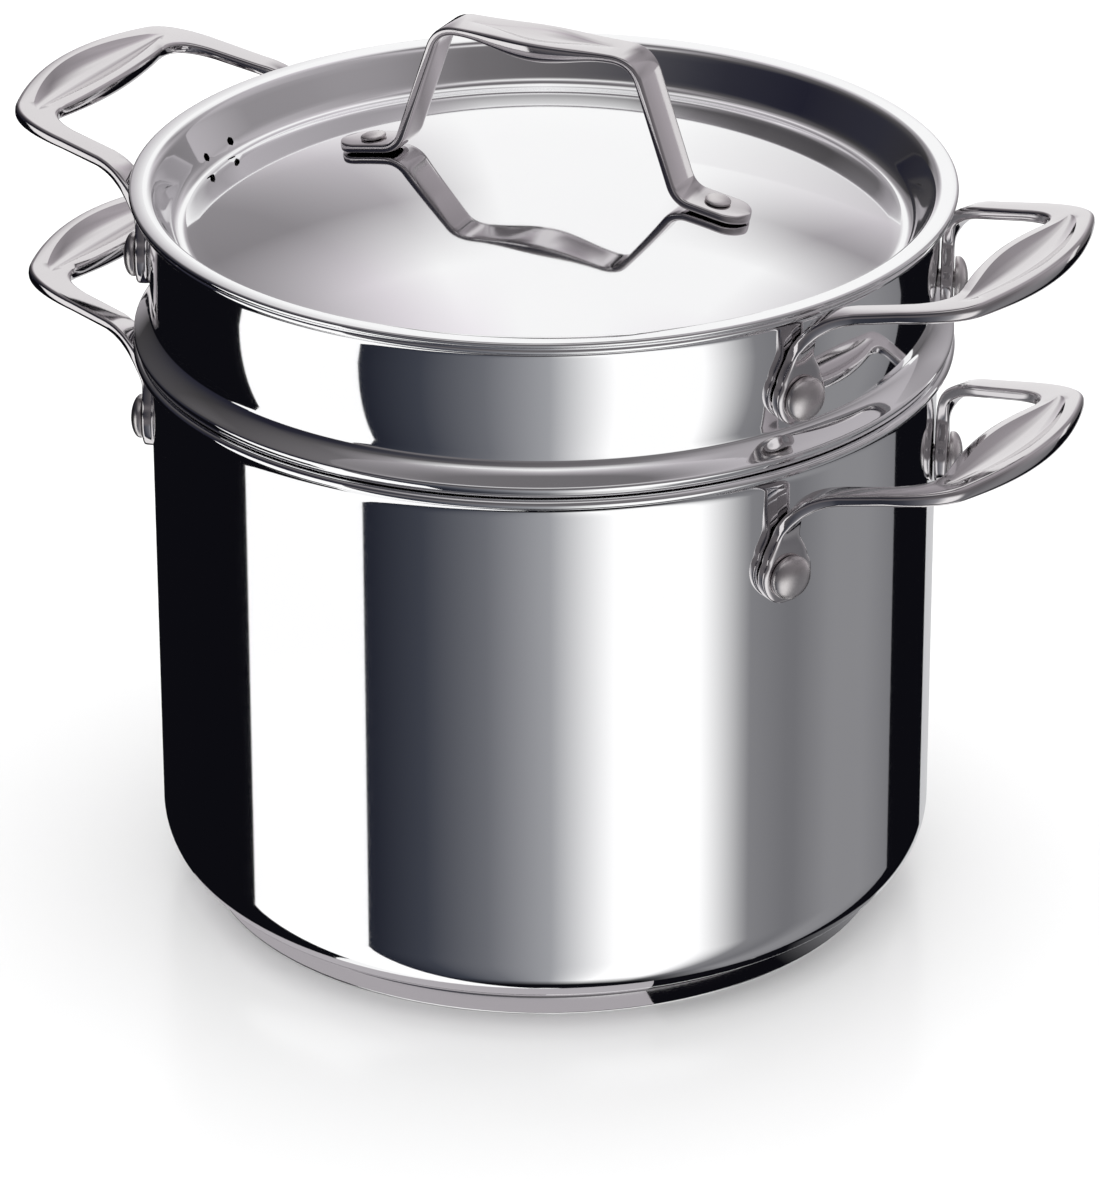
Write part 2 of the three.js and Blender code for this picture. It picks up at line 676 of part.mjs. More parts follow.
// Lid handle in the XZ plane, from the -X foot: the foot lies on the dome, the leg leans inwards, and the
// strap swells to a lens at the grip. The run follows the strap's outer face.
function lidHandleHalf() {
  const slope = Math.tan(lidRivetTilt);
  const footTop = domeHeightAt(lidRivetRadius, domeRadius)
    + (seatGap + strapThickness) / Math.cos(lidRivetTilt);
  const onFoot = (x) => new THREE.Vector2(x, footTop + (x + lidRivetRadius) * slope);
  const end = onFoot(-lidRivetRadius - strapFootEnd);
  const footBend = onFoot(-lidRivetRadius + strapFootStart);
  const gripTop = footTop + strapHeight;
  const gripBend = new THREE.Vector2(footBend.x + (gripTop - footBend.y) / Math.tan(strapLegLean), gripTop);
  const middle = new THREE.Vector2(0, gripTop);

  const stations = [];
  const add = (point, width, thickness, dish) => stations.push({
    centre: new THREE.Vector3(point.x, 0, point.y),
    across: new THREE.Vector3(0, 1, 0),
    width,
    thickness,
    dish,
    sides: strapSides,
  });
  const towards = (from, to, distance) => {
    const direction = to.clone().sub(from).normalize();
    return from.clone().addScaledVector(direction, distance);
  };
  const addBend = (before, corner, after, run, steps) => {
    const start = towards(corner, before, run);
    const curve = new THREE.QuadraticBezierCurve(start, corner, towards(corner, after, run));
    curve.getPoints(steps).forEach((point) => add(point, strapWidth, strapThickness, 0));
  };

  const endRadius = strapWidth / 2;
  const roundSteps = 3;
  for (let i = 0; i <= roundSteps; i++) {
    const angle = mix(roundEndStart, quarterTurn, i / roundSteps);
    const along = endRadius * (1 - Math.cos(angle));
    add(towards(end, footBend, along), strapWidth * Math.sin(angle), strapThickness, 0);
  }
  addBend(end, footBend, gripBend, strapFootBend, 3);
  addBend(footBend, gripBend, middle, strapGripBend, 4);
  const gripStart = towards(gripBend, middle, strapGripBend);
  const gripSteps = 4;
  for (let i = 1; i <= gripSteps; i++) {
    const share = i / gripSteps;
    const swell = Math.sin(quarterTurn * share) ** 2;
    add(gripStart.clone().lerp(middle, share), mix(strapWidth, lidGripWidth, swell),
      mix(strapThickness, lidGripThickness, swell), lidGripDish * swell);
  }
  return stations;
}

function lidHandle() {
  const strap = bar(withMirror(lidHandleHalf(), new THREE.Vector3(-1, 1, 1)));
  return cutAll(strap, lidRivetHoles());
}

// Assembly
const pot = new THREE.Group();
pot.add(meshOf('pot_shell', potShell(), polishedSteel));
pot.add(meshOf('base_core', baseCore(), aluminium));
pot.add(meshOf('base_cap', baseCap(), polishedSteel));

const insert = new THREE.Group();
insert.rotation.z = insertTurn;
insert.add(meshOf('insert_shell', insertShell(), polishedSteel));

const lid = new THREE.Group();
lid.rotation.z = lidTurn;
lid.add(meshOf('lid_shell', lidShell(), polishedSteel));
lid.add(meshOf('lid_handle', lidHandle(), castSteel));

// Two handles and four rivets on each of the pot and the insert.
const handleBody = sideHandle();
for (const [unit, unitName, height, innerRadius] of [
  [pot, 'pot', potRivetHeight, potInnerRadius],
  [insert, 'insert', insertSeat + insertRivetHeight, neckInnerRadius],
]) {
  const sideRivetBody = sideRivet(innerRadius);
  for (const [side, turn] of [['right', 0], ['left', Math.PI]]) {
    const handle = meshOf(`${unitName}_handle_${side}`, handleBody, castSteel);
    handle.position.z = height;
    handle.rotation.z = turn;
    unit.add(handle);
  }
  for (const [place, angle] of Object.entries(rivetAngles)) {
    const turnedRivet = meshOf(`${unitName}_rivet_${place}`, sideRivetBody, satinSteel);
    turnedRivet.position.z = height;
    turnedRivet.rotation.set(0, quarterTurn, angle, 'ZYX');
    unit.add(turnedRivet);
  }
}

const lidRivetBody = lidRivet();
for (const [place, side] of [['left', -1], ['right', 1]]) {
  lid.add(onDome(meshOf(`lid_rivet_${place}`, lidRivetBody, satinSteel), side));
}

const pastaPot = new THREE.Group();
pastaPot.add(pot, insert, lid);

export default pastaPot;
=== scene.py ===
"""Looks of the pasta pot: each CAD node that shows is rebuilt with fine, smooth geometry and gets a
procedural steel. Sizes are in millimetres, where no comment says metres, and repeat those of the part's
source."""

import math

import bmesh
import bpy
from mathutils import Matrix, Vector


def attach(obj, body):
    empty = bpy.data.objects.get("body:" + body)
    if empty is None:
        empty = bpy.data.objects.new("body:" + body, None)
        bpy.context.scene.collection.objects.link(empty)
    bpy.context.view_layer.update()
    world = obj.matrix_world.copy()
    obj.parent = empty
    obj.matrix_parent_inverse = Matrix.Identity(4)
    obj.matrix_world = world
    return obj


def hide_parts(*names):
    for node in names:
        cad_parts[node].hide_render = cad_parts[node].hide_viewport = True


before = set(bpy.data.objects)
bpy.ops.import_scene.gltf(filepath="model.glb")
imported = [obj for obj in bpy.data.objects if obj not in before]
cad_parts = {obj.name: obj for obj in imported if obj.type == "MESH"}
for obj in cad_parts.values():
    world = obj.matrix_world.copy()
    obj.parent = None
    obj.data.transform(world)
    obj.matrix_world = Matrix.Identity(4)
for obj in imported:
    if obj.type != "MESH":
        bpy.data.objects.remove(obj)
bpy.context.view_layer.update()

MM = 0.001
SEAT_GAP = 0.3  # between pieces that rest on each other
SHARP_ANGLE = math.radians(26)  # edges sharper than this stay crisp
ON_AXIS = 1e-6  # a smaller radius counts as the axis
ROUNDING = 1e-9  # slack where two distances are compared

# Facets
SHELL_COLUMNS = 192
LID_COLUMNS = 190  # the steam vents fall on grid lines of the lid
RIVET_COLUMNS = 40
FLOOR_HOLE_COLUMNS = 16

# Pot and base
POT_INNER = 120
POT_OUTER = 121
POT_HEIGHT = 181.2
POT_CORNER = 18
POT_FLOOR = 8
POT_RIM = {"reach": 5.15, "thickness": 3.2, "flare": 4.8, "mouth": 2.6}
BASE_RADIUS = 107.5
BASE_THICKNESS = 7
BASE_WALL = 0.8
BASE_EDGE = 2

# Insert
INSERT_TURN = math.radians(2)
INSERT_SEAT = POT_HEIGHT + SEAT_GAP
BAND_HEIGHT = 47.6
INSERT_TOP = INSERT_SEAT + BAND_HEIGHT
BAND_INNER = 120  # the band's outside lies flush with the pot's
INSERT_RIM = {"reach": 4, "thickness": 2.5, "flare": 2.8, "mouth": 2.2}
FLANGE_REACH = 5.15
FLANGE_TOP = 10.2  # height of the flange's hollow side over its seat
FLANGE_LEAN = math.radians(57)  # of the hollow side, where it runs into the lip
LIP_CREST = 3.5  # height of the lip over its seat
LIP_UNDERCUT = 1.6
LIP_ROUND = 1.1
BAND_TAPER = 1.4  # by which the band's foot is drawn in
BAND_TAPER_HEIGHT = 26
TAPER_POWER = 3  # the higher, the closer to the foot the taper lies
NECK_INNER = BAND_INNER - BAND_TAPER
BASKET_OUTER = 117
BASKET_WALL = 1
BASKET_BOTTOM = 30
BASKET_CORNER = 16
BASKET_ROW_STEP = 3  # height of one row of the basket's grid
HOLE_RADIUS = 2
HOLE_REACH = 2  # grid cells cut away on each side of a hole's middle
HOLE_ROWS = 4
HOLE_PITCH = 30
LOWEST_HOLE = 18
HOLE_COLUMNS = 24
FLOOR_RINGS = 2
FLOOR_RING_PITCH = 34
FLOOR_HOLES_PER_RING = 6

# Lid
LID_TURN = math.radians(4)
LID_SEAT = INSERT_TOP + SEAT_GAP
LID_RIM_THICKNESS = 1.8
LID_TOP = LID_SEAT + LID_RIM_THICKNESS
LID_SHEET = 0.8
LID_CLEARANCE = 0.6  # between the lid's step-down wall and the insert's band
LID_RIM_RADIUS = 126.15
LID_RIM_ROUND = 2.4
STEP_SLOPE = math.radians(62)
STEP_DEPTH = 13.8
VALLEY_RUN = 3.6
DOME_RISE = 17.7
VENT_RADIUS = 1.5
VENT_ROW_REACH = 3  # grid cells cut away on each side of a vent's middle
VENT_COLUMN_REACH = 1
VENT_OFFSET = 2  # columns of the lid's grid from the middle of the two vents to each

# Side handles: out is measured from the wall, side from the handle's middle
RIVET_ANGLE = math.radians(24)
POT_RIVET_HEIGHT = 145.9
INSERT_RIVET_RISE = 20.9  # over the insert's seat
INSERT_RIVET_HEIGHT = INSERT_SEAT + INSERT_RIVET_RISE
FOOT_RADIUS = 9
FOOT_THICKNESS = 4
FOOT_ARC = (-87, 33)  # degrees of the round foot, from its tip up, that have sections
FOOT_TIP_THINNING = 0.3  # share of the thickness that the tip loses
FOOT_TIP_SHARPNESS = 12  # the higher, the closer to the tip the thinning starts
NECK_SECTIONS = (6, 7, 8, 9)  # heights above the rivet
NECK_START = 5  # height above the rivet where the round foot starts to narrow to the neck
NECK_END = 14
NECK_WIDTH = 8.4
LEG_WIDTH = 8.4
LEG_THICKNESS = 4.2
LEG_TURN_IN = 5
LEG_STRAIGHT = 18
LEG_SAMPLES = 200  # points that the leg's length is measured on
ARCH_START = 10
ARCH_REACH = 18
TOP_SLOPE = 0.19
TOP_AT_WALL = 27.5
OUTER_EDGE = {"leg": (22, 48.4), "corner": (41, 47), "grip": (45, 37.5), "middle": (52.5, 0)}
INNER_EDGE = {"leg": (20, 40), "corner": (34, 38.5), "grip": (32.4, 28), "middle": (29.7, 0)}
INNER_CROWN = 1.6
GRIP_START_THICKNESS = 5.6
GRIP_THICKNESS = 8.2
POCKET_HALF_LENGTH = 37
POCKET_DEPTH = 3
POCKET_WIDTH = 0.8  # share of the grip's width at its middle
EDGE_ROUND = 1.3  # of the top face's edges
EDGE_WIDTH_LIMIT = 1 / 3  # most of a section's half width that the edge's rounding takes
EDGE_THICKNESS_LIMIT = 0.3  # most of its thickness
NO_POCKET = 0.02  # width, as a share, that keeps a section's points apart where there is no pocket
FOOT_SQUARENESS = 7  # power of the section's rounded belly: 2 is an ellipse, more is squarer
GRIP_SQUARENESS = 3
STRAP_SQUARENESS = 6

# Rivets
SIDE_RIVET = {"shank": 3, "head": 6.9, "rim": 0.9, "dome": 3.1, "tail": 5.5, "tail_thickness": 1.4}
LID_RIVET = {"shank": 2, "head": 4, "rim": 0.4, "dome": 1, "tail": 4, "tail_thickness": 1.2}
LID_RIVET_RADIUS = 58

# Lid handle
STRAP_WIDTH = 14
STRAP_THICKNESS = 3
STRAP_FOOT_END = 11.3
STRAP_END_ARC = (4, 90)  # degrees of the foot's round end, from its tip, that have sections
STRAP_FOOT_START = 9.6
STRAP_LEG_LEAN = math.radians(71)
STRAP_HEIGHT = 43.6
STRAP_FOOT_BEND = 4
STRAP_GRIP_BEND = 8
LID_GRIP_WIDTH = 18
LID_GRIP_THICKNESS = 6.4
LID_GRIP_DISH = 1.2
LID_GRIP_LENS = 0.8  # share of the grip's width at its middle that is dished

# Steel's finish: lengths in metres
CLOUD_SCALE = 18
CLOUD_DETAIL = 3
GRAIN_DETAIL = 4
GRAIN_HEIGHT = 0.0001
LATHE_RINGS = 300
LATHE_WAVER = 0.4
LATHE_RELIEF = 0.08
LATHE_HEIGHT = 0.00005


def mix(start, end, share):
    """Value at a share of the way from one to another."""
    return start + (end - start) * share


def smooth(share):
    """A share that leaves 0 and reaches 1 gently."""
    share = min(max(share, 0), 1)
    return share * share * (3 - 2 * share)


def arc(radius, height, across, upright, start, end, steps):
    """Points of a profile along an elliptic arc, with its angles in degrees."""
    points = []
    for i in range(steps + 1):
        angle = math.radians(mix(start, end, i / steps))
        points.append((radius + across * math.cos(angle), height + upright * math.sin(angle)))
    return points


def bezier(points, share):
    """Point of a Bezier curve of any order."""
    while len(points) > 1:
        points = [a.lerp(b, share) for a, b in zip(points, points[1:])]
    return points[0]


def curve(points, steps):
    """Points of a profile along a Bezier curve."""
    return [tuple(bezier(points, i / steps)) for i in range(steps + 1)]


def rounded(corner, way_in, way_out, run, steps):
    """Points of a profile round one of its corners."""
    return curve([corner - way_in * run, corner, corner + way_out * run], steps)


def crossing(start, way, other_start, other_way):
    """Where two lines of a profile meet."""
    return start + way * ((other_start - start).cross(other_way) / way.cross(other_way))


def ring(bm, radius, height, columns):
    """Corners of one turn of a profile point, or a single corner on the axis."""
    if radius < ON_AXIS:
        return [bm.verts.new((0, 0, height))]
    turns = [2 * math.pi * i / columns for i in range(columns)]
    return [bm.verts.new((radius * math.cos(a), radius * math.sin(a), height)) for a in turns]


def bridge(bm, first, second):
    """Faces between two closed loops of corners, or from a loop to a single corner."""
    for i in range(max(len(first), len(second))):
        corners = [
            first[i % len(first)],
            first[(i + 1) % len(first)],
            second[(i + 1) % len(second)],
            second[i % len(second)],
        ]
        bm.faces.new(list(dict.fromkeys(corners)))


def strip(bm, start, profile, end, columns):
    """Turned faces from one ring, through the points of a profile, to another ring."""
    rings = [start, *(ring(bm, radius, height, columns) for radius, height in profile), end]
    for first, second in zip(rings, rings[1:]):
        bridge(bm, first, second)


def turned(profile, columns):
    """A body turned about Z from a profile that starts and ends on the axis."""
    bm = bmesh.new()
    start = ring(bm, *profile[0], columns)
    end = ring(bm, *profile[-1], columns)
    strip(bm, start, profile[1:-1], end, columns)
    return bm


def walk(rows, row, distance):
    """Point of a profile at a distance along it from one of its rows."""
    step = 1 if distance >= 0 else -1
    left = abs(distance)
    here = Vector(rows[row])
    while True:
        row += step
        there = Vector(rows[row])
        length = (there - here).length
        if left <= length:
            return here.lerp(there, left / length)
        left -= length
        here = there


def pierce(bm, rings, rows, columns, hole):
    """A round hole in a grid of turned corners: faces from the border of the cut cells to its edge."""
    row, column, row_reach, column_reach, radius = hole
    border = [(-row_reach, s) for s in range(-column_reach, column_reach)]
    border += [(s, column_reach) for s in range(-row_reach, row_reach)]
    border += [(row_reach, -s) for s in range(-column_reach, column_reach)]
    border += [(-s, -column_reach) for s in range(-row_reach, row_reach)]
    facet = 2 * math.pi / columns
    middle = Vector(rows[row])
    loop, edge = [], []
    for up, side in border:
        loop.append(rings[row + up][(column + side) % columns])
        across = side * facet * middle.x
        along = math.copysign((Vector(rows[row + up]) - middle).length, up)
        scale = radius / math.hypot(across, along)
        spot = walk(rows, row, along * scale)
        angle = column * facet + across * scale / middle.x
        edge.append(bm.verts.new((spot.x * math.cos(angle), spot.x * math.sin(angle), spot.y)))
    bridge(bm, loop, edge)
    return edge


def sheet(bm, outer, inner, columns, holes):
    """Both faces of a turned sheet, with round holes through them. Returns the rings of each face."""
    cut = set()
    for row, column, row_reach, column_reach, _ in holes:
        for up in range(-row_reach, row_reach):
            for side in range(-column_reach, column_reach):
                cut.add((row + up, (column + side) % columns))
    faces = []
    for rows in (outer, inner):
        rings = [ring(bm, radius, height, columns) for radius, height in rows]
        faces.append(rings)
        for row in range(len(rows) - 1):
            for column in range(columns):
                if (row, column) not in cut:
                    after = (column + 1) % columns
                    low, high = rings[row], rings[row + 1]
                    bm.faces.new((low[column], low[after], high[after], high[column]))
    for hole in holes:
        outer_edge = pierce(bm, faces[0], outer, columns, hole)
        inner_edge = pierce(bm, faces[1], inner, columns, hole)
        bridge(bm, outer_edge, inner_edge)
    return faces


def loft(rings):
    """A closed bar through rings of corners, with flat ends."""
    bm = bmesh.new()
    loops = [[bm.verts.new(point) for point in points] for points in rings]
    for first, second in zip(loops, loops[1:]):
        bridge(bm, first, second)
    bm.faces.new(loops[0])
    bm.faces.new(loops[-1])
    return bm


def piece(name, bm, body, material, place=Matrix.Identity(4)):
    """A finished piece that stands for the CAD node of its name."""
    bm.transform(Matrix.Scale(MM, 4) @ place)
    bmesh.ops.recalc_face_normals(bm, faces=bm.faces)
    mesh = bpy.data.meshes.new(name + "_fine")
    bm.to_mesh(mesh)
    bm.free()
    mesh.shade_smooth()
    mesh.set_sharp_from_angle(angle=SHARP_ANGLE)
    mesh.materials.append(material)
    made = bpy.data.objects.new(name + "_fine", mesh)
    bpy.context.scene.collection.objects.link(made)
    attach(made, body)
    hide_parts(name)


# Materials
def steel(name, colour, tint, roughness, spread, grain, relief):
    """Bare steel. Its colour and polish vary a little in soft clouds, and fine grain lies in its relief."""
    material = bpy.data.materials.new(name)
    material.use_nodes = True
    nodes, links = material.node_tree.nodes, material.node_tree.links
    shader = nodes["Principled BSDF"]
    shader.inputs["Metallic"].default_value = 1
    place = nodes.new("ShaderNodeTexCoord").outputs["Object"]

    clouds = nodes.new("ShaderNodeTexNoise")
    clouds.inputs["Scale"].default_value = CLOUD_SCALE
    clouds.inputs["Detail"].default_value = CLOUD_DETAIL
    links.new(place, clouds.inputs["Vector"])
    shades = nodes.new("ShaderNodeValToRGB")
    shades.color_ramp.elements[0].color = (*tint, 1)
    shades.color_ramp.elements[1].color = (*colour, 1)
    links.new(clouds.outputs["Fac"], shades.inputs["Fac"])
    links.new(shades.outputs["Color"], shader.inputs["Base Color"])

    fine = nodes.new("ShaderNodeTexNoise")
    fine.inputs["Scale"].default_value = grain
    fine.inputs["Detail"].default_value = GRAIN_DETAIL
    links.new(place, fine.inputs["Vector"])
    polish = nodes.new("ShaderNodeMapRange")
    polish.inputs["To Min"].default_value = roughness - spread
    polish.inputs["To Max"].default_value = roughness + spread
    links.new(fine.outputs["Fac"], polish.inputs["Value"])
    links.new(polish.outputs["Result"], shader.inputs["Roughness"])

    bump = nodes.new("ShaderNodeBump")
    bump.inputs["Strength"].default_value = relief
    bump.inputs["Distance"].default_value = GRAIN_HEIGHT
    links.new(fine.outputs["Fac"], bump.inputs["Height"])
    links.new(bump.outputs["Normal"], shader.inputs["Normal"])
    return material


def turned_marks(material):
    """Fine rings about Z, as a lathe leaves them, added to a material's relief."""
    nodes, links = material.node_tree.nodes, material.node_tree.links
    rings = nodes.new("ShaderNodeTexWave")
    rings.wave_type = "RINGS"
    rings.rings_direction = "Z"
    rings.inputs["Scale"].default_value = LATHE_RINGS
    rings.inputs["Distortion"].default_value = LATHE_WAVER
    links.new(nodes["Texture Coordinate"].outputs["Object"], rings.inputs["Vector"])
    bump = nodes.new("ShaderNodeBump")
    bump.inputs["Strength"].default_value = LATHE_RELIEF
    bump.inputs["Distance"].default_value = LATHE_HEIGHT
    links.new(rings.outputs["Fac"], bump.inputs["Height"])
    links.new(nodes["Bump"].outputs["Normal"], bump.inputs["Normal"])
    links.new(bump.outputs["Normal"], nodes["Principled BSDF"].inputs["Normal"])


polished = steel(
    "polished_steel", colour=(0.93, 0.93, 0.935), tint=(0.90, 0.90, 0.91),
    roughness=0.045, spread=0.02, grain=500, relief=0.003,
)
cast = steel(
    "cast_steel", colour=(0.74, 0.715, 0.725), tint=(0.64, 0.615, 0.625),
    roughness=0.08, spread=0.03, grain=700, relief=0.02,
)
satin = steel(
    "satin_steel", colour=(0.76, 0.73, 0.73), tint=(0.69, 0.66, 0.66),
    roughness=0.34, spread=0.06, grain=900, relief=0.08,
)
base_steel = steel(
    "base_steel", colour=(0.86, 0.855, 0.86), tint=(0.81, 0.805, 0.81),
    roughness=0.12, spread=0.04, grain=500, relief=0.01,
)
turned_marks(base_steel)
core_metal = steel(
    "core_aluminium", colour=(0.80, 0.80, 0.81), tint=(0.72, 0.72, 0.73),
    roughness=0.45, spread=0.08, grain=900, relief=0.1,
)
turned_marks(core_metal)


# Shells
def rim(outer, inner, top, sizes):
    """Rolled rim of a wall, outside first: a hollow flare, the rounded edge, then the mouth's edge."""
    edge = sizes["thickness"] / 2
    reach = sizes["reach"] - edge
    flare = sizes["flare"]
    mouth = sizes["mouth"]
    return [
        *arc(outer + reach, top - 2 * edge - flare, reach, flare, 180, 90, steps=10),
        *arc(outer + reach, top - edge, edge, edge, -90, 90, steps=12)[1:],
        *arc(inner + mouth, top - mouth, mouth, mouth, 90, 180, steps=8),
    ]


def pot_shell():
    """Drawn pot with a round bottom corner and a rolled rim."""
    inner_corner = POT_CORNER - (POT_OUTER - POT_INNER)
    inner_flat = POT_INNER - inner_corner
    bottom = BASE_THICKNESS
    return turned([
        (0, bottom),
        (BASE_RADIUS / 2, bottom),
        *arc(POT_OUTER - POT_CORNER, bottom + POT_CORNER, POT_CORNER, POT_CORNER, -90, 0, steps=24),
        *rim(POT_OUTER, POT_INNER, POT_HEIGHT, POT_RIM),
        *arc(inner_flat, POT_FLOOR + inner_corner, inner_corner, inner_corner, 0, -90, steps=20),
        (POT_INNER / 2, POT_FLOOR),
        (0, POT_FLOOR),
    ], SHELL_COLUMNS)


def base_cap():
    """Shallow cap round the base's core, open at the top."""
    top = BASE_THICKNESS - SEAT_GAP
    pocket = BASE_RADIUS - BASE_WALL
    return turned([
        (0, 0),
        (BASE_RADIUS / 2, 0),
        *arc(BASE_RADIUS - BASE_EDGE, BASE_EDGE, BASE_EDGE, BASE_EDGE, -90, 0, steps=10),
        (BASE_RADIUS, top - BASE_WALL / 2),
        (BASE_RADIUS - BASE_WALL / 4, top),
        (pocket, top),
        *arc(pocket - BASE_EDGE, BASE_WALL + BASE_EDGE, BASE_EDGE, BASE_EDGE, 0, -90, steps=6),
        (0, BASE_WALL),
    ], SHELL_COLUMNS)


def basket_floor(bm, rims):
    """Flat floor of the basket, from its outer ring inwards, with rings of round holes through it."""
    spots = []
    for number in range(FLOOR_RINGS + 1):
        count = max(1, number * FLOOR_HOLES_PER_RING)
        for i in range(count):
            angle = 2 * math.pi * i / count
            reach = number * FLOOR_RING_PITCH
            spots.append(Vector((reach * math.cos(angle), reach * math.sin(angle), 0)))
    edges_of = []
    for rim_ring in rims:
        height = rim_ring[0].co.z
        loops = []
        for spot in spots:
            circle = ring(bm, HOLE_RADIUS, height, FLOOR_HOLE_COLUMNS)
            for corner in circle:
                corner.co += spot
            loops.append(circle)
        border = [bm.edges.get(pair) for pair in zip(rim_ring, rim_ring[1:] + rim_ring[:1])]
        for circle in loops:
            border += [bm.edges.new(pair) for pair in zip(circle, circle[1:] + circle[:1])]
        bmesh.ops.triangle_fill(bm, edges=border, use_beauty=True)
        edges_of.append(loops)
    for lower, upper in zip(*edges_of):
        bridge(bm, lower, upper)


def insert_shell():
    """Strainer: a basket with holes, a flange that hangs on the pot's rim, and a plain band above it."""
    bm = bmesh.new()
    inner_radius = BASKET_OUTER - BASKET_WALL
    inner_corner = BASKET_CORNER - BASKET_WALL
    wall_start = BASKET_BOTTOM + BASKET_CORNER
    flat = BASKET_OUTER - BASKET_CORNER
    corner_steps = 10
    outer = arc(flat, wall_start, BASKET_CORNER, BASKET_CORNER, -90, 0, corner_steps)
    inner = arc(flat, wall_start, inner_corner, inner_corner, -90, 0, corner_steps)
    wall_rows = int((INSERT_SEAT - wall_start) / BASKET_ROW_STEP)
    for i in range(1, wall_rows + 1):
        outer.append((BASKET_OUTER, wall_start + i * BASKET_ROW_STEP))
        inner.append((inner_radius, wall_start + i * BASKET_ROW_STEP))
    outer.append((BASKET_OUTER, INSERT_SEAT))
    inner.append((inner_radius, INSERT_SEAT + BASKET_WALL))

    holes = []
    column_step = SHELL_COLUMNS // HOLE_COLUMNS
    for row in range(HOLE_ROWS):
        height = LOWEST_HOLE + row * HOLE_PITCH
        grid_row = corner_steps + height // BASKET_ROW_STEP
        stagger = column_step // 2 if row % 2 else 0
        for i in range(HOLE_COLUMNS):
            holes.append((grid_row, i * column_step + stagger, HOLE_REACH, HOLE_REACH, HOLE_RADIUS))
    faces = sheet(bm, outer, inner, SHELL_COLUMNS, holes)
    basket_floor(bm, [rings[0] for rings in faces])

    flange_top = INSERT_SEAT + FLANGE_TOP
    taper_steps = 14
    taper = []
    for i in range(taper_steps + 1):
        share = i / taper_steps
        taper.append((-BAND_TAPER * (1 - share) ** TAPER_POWER, flange_top + BAND_TAPER_HEIGHT * share))
    shoulder = INSERT_SEAT + BASKET_WALL + NECK_INNER - inner_radius

    seat_edge = Vector((POT_OUTER + FLANGE_REACH - LIP_UNDERCUT, INSERT_SEAT))
    crest = Vector((POT_OUTER + FLANGE_REACH, INSERT_SEAT + LIP_CREST))
    outwards = Vector((1, 0))
    lip_way = (crest - seat_edge).normalized()
    inwards = Vector((-math.sin(FLANGE_LEAN), math.cos(FLANGE_LEAN)))
    band = [(POT_OUTER + inset, height) for inset, height in taper]
    foot = Vector(band[0])
    bend = crossing(crest, inwards, foot, Vector(band[1]) - foot)
    strip(bm, faces[0][-1], [
        *rounded(seat_edge, outwards, lip_way, LIP_ROUND, steps=6),
        *rounded(crest, lip_way, inwards, LIP_ROUND, steps=8),
        *curve([crest + inwards * LIP_ROUND, bend, foot], steps=16)[1:-1],
        *band,
        *rim(POT_OUTER, BAND_INNER, INSERT_TOP, INSERT_RIM),
        *((BAND_INNER + inset, height) for inset, height in reversed(taper)),
        (NECK_INNER, shoulder),
    ], faces[1][-1], SHELL_COLUMNS)
    return bm


# Lid: the dome, the valley and the step-down wall are the same on both faces, one sheet apart
WALL_WAY = Vector((math.cos(STEP_SLOPE), math.sin(STEP_SLOPE)))
STEP_TOP = BAND_INNER - LID_CLEARANCE - LID_SHEET + LID_RIM_THICKNESS / math.tan(STEP_SLOPE)
STEP_FOOT = STEP_TOP - STEP_DEPTH / math.tan(STEP_SLOPE)
VALLEY = LID_TOP - STEP_DEPTH
DOME_EDGE = STEP_FOOT - VALLEY_RUN
DOME_RADIUS = (DOME_EDGE**2 + DOME_RISE**2) / (2 * DOME_RISE)
DOME_CENTRE = VALLEY + LID_SHEET + DOME_RISE - DOME_RADIUS
LID_TILT = math.asin(LID_RIVET_RADIUS / DOME_RADIUS)


def dome_height(radius, drop=0):
    """Height of the lid's dome, or of a face that lies lower by drop."""
    return DOME_CENTRE + math.sqrt((DOME_RADIUS - drop) ** 2 - radius**2)


def lid_face(drop, wall_rows):
    """Rows of the lid's top face, or of its underside where drop is the sheet's thickness."""
    dome_steps = 30
    rows = []
    for i in range(1, dome_steps + 1):
        radius = DOME_EDGE * i / dome_steps
        rows.append((radius, dome_height(radius, drop)))
    foot = Vector((STEP_FOOT + drop / math.sin(STEP_SLOPE), VALLEY - drop))
    wall_start = foot + WALL_WAY * VALLEY_RUN
    valley = [Vector(rows[-1]), foot, wall_start]
    rows += curve(valley, steps=8)[1:]
    vent_row = len(rows) - 1
    for i in range(1, wall_rows + 1):
        rows.append(tuple(wall_start + WALL_WAY * i))
    return rows, vent_row


def lid_shell():
    """Domed lid with a step-down wall, a flat rim and two steam vents."""
    bm = bmesh.new()
    wall_rows = 8
    top, vent_row = lid_face(0, wall_rows)
    under, _ = lid_face(LID_SHEET, wall_rows)
    half_turn = LID_COLUMNS // 2
    vents = [
        (vent_row, half_turn + offset, VENT_ROW_REACH, VENT_COLUMN_REACH, VENT_RADIUS)
        for offset in (-VENT_OFFSET, VENT_OFFSET)
    ]
    faces = sheet(bm, top, under, LID_COLUMNS, vents)
    for rings, drop in zip(faces, (0, LID_SHEET)):
        bridge(bm, rings[0], [bm.verts.new((0, 0, dome_height(0, drop)))])
    corner = Vector((STEP_TOP, LID_TOP))
    edge = LID_RIM_THICKNESS / 2
    under_wall = STEP_TOP + LID_SHEET / math.sin(STEP_SLOPE) - LID_RIM_THICKNESS / math.tan(STEP_SLOPE)
    strip(bm, faces[0][-1], [
        *rounded(corner, WALL_WAY, Vector((1, 0)), LID_RIM_ROUND, steps=8),
        *arc(LID_RIM_RADIUS - edge, LID_TOP - edge, edge, edge, 90, -90, steps=10),
        (under_wall, LID_SEAT),
    ], faces[1][-1], LID_COLUMNS)
    return bm


